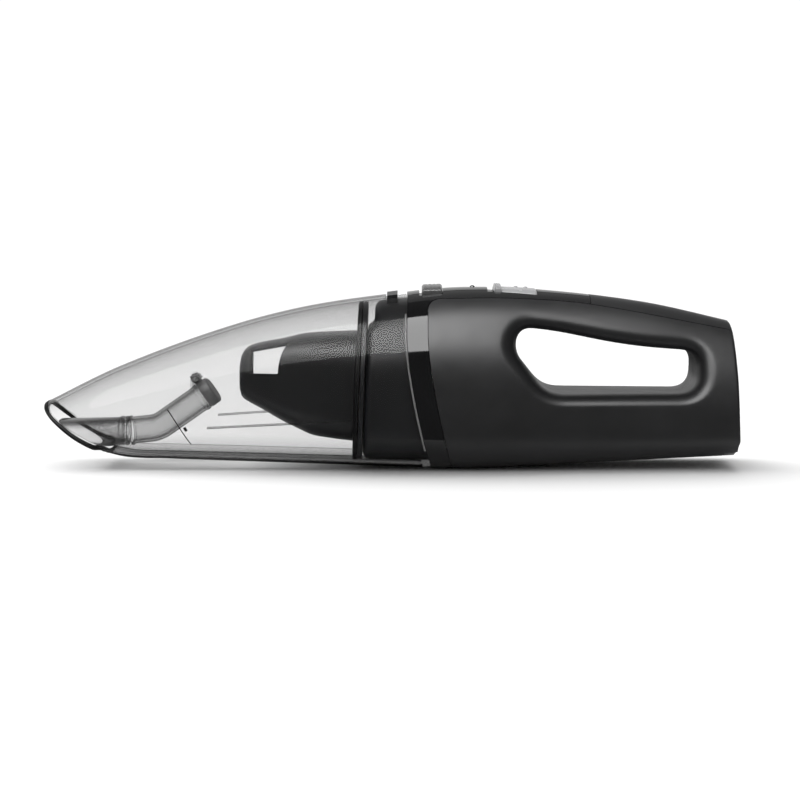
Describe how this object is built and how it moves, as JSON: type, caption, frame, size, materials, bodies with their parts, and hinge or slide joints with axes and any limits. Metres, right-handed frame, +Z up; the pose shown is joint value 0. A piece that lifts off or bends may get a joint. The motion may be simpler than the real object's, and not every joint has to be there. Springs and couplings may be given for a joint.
{
  "type": "handheld vacuum",
  "caption": "Cordless wet and dry handheld vacuum: clear boat-shaped dust bowl with an intake duct and caged filter, dark motor body with a looped top handle, release button and slide switch.",
  "frame": {"origin": "middle of the bounding box at the height of the flat pad under the motor", "axes": "+X from the nose to the tail, +Y to the side with the screws (the vacuum's right, looking from tail to nose, is +Y), +Z up"},
  "size_m": [0.3967, 0.101, 0.1041],
  "materials": {
    "matte_shell": "fine satin-matte texture",
    "gloss_black": "polished",
    "clear_bowl": "clear moulded plastic, polished",
    "smoked_duct": "smoky translucent moulded plastic",
    "black_rubber": "soft satin",
    "filter_plastic": "satin",
    "flap_grey": "matte",
    "filter_paper": "pleated paper",
    "grey_button": "translucent, polished",
    "pale_switch": "translucent, polished",
    "lens": "polished",
    "steel": "turned",
    "contact_brass": "plated",
    "board": "solder mask",
    "cell_wrap": "shrink wrap",
    "lead_sleeve": "matte",
    "foam": "open-cell foam"
  },
  "bodies": {
    "housing": {"left_shell": "matte_shell", "right_shell": "matte_shell", "rear_top_trim": "matte_shell", "front_collar": "gloss_black", "motor_bulkhead": "gloss_black", "rear_contact_block": "gloss_black", "motor_damper": "black_rubber", "fan_cover": "filter_plastic", "fan_housing": "filter_plastic", "motor_end_cap": "filter_plastic", "battery_tray": "filter_plastic", "switch_body": "filter_plastic", "led_lens": "lens", "motor_can": "steel", "latch_pin": "steel", "latch_spring": "steel", "shell_screw_1": "steel", "shell_screw_2": "steel", "shell_screw_3": "steel", "shell_screw_4": "steel", "shell_screw_5": "steel", "charge_contact_left": "contact_brass", "charge_contact_right": "contact_brass", "charge_board": "board", "battery_cell_1": "cell_wrap", "battery_cell_2": "cell_wrap", "battery_cell_3": "cell_wrap", "motor_lead_left": "lead_sleeve", "motor_lead_right": "lead_sleeve", "exhaust_foam": "foam"},
    "bowl": {"dust_bowl": "clear_bowl", "mouth_lip": "black_rubber", "intake_funnel": "smoked_duct", "duct_seal_ring": "black_rubber", "intake_elbow": "smoked_duct", "flap_hinge_pin": "steel"},
    "flap": {"intake_flap": "flap_grey"},
    "filter": {"filter_hood": "filter_plastic", "filter_gasket": "black_rubber", "filter_flange": "filter_plastic", "pleated_filter": "filter_paper"},
    "rotor": {"motor_shaft": "steel", "impeller": "filter_plastic"},
    "release": {"release_lever": "filter_plastic", "release_button": "grey_button"},
    "switch": {"switch_knob": "pale_switch"}
  },
  "joints": [
    {"name": "bowl_pull", "type": "slide", "parent": "housing", "child": "bowl", "axis": [-1, 0, 0], "range_m": [0, 0.16]},
    {"name": "filter_pull", "type": "slide", "parent": "housing", "child": "filter", "axis": [-1, 0, 0], "range_m": [0, 0.072]},
    {"name": "release_press", "type": "hinge", "parent": "housing", "child": "release", "pos_m": [0.044, 0, 0.094], "axis": [0, -1, 0], "range_deg": [0, 7], "stiffness_Nm_per_rad": 1, "springref_deg": -2.86, "deforming": ["latch_spring"]},
    {"name": "power_slide", "type": "slide", "parent": "housing", "child": "switch", "axis": [-1, 0, 0], "range_m": [0, 0.0034]},
    {"name": "rotor_spin", "type": "hinge", "parent": "housing", "child": "rotor", "pos_m": [0.006, 0, 0.044], "axis": [1, 0, 0], "continuous": true},
    {"name": "flap_swing", "type": "hinge", "parent": "bowl", "child": "flap", "pos_m": [-0.11117, 0, 0.0492], "axis": [0, -1, 0], "range_deg": [0, 60]}
  ],
  "couplings": [
    {"joint": "filter_pull", "follows": "bowl_pull", "ratio": 0.45}
  ]
}
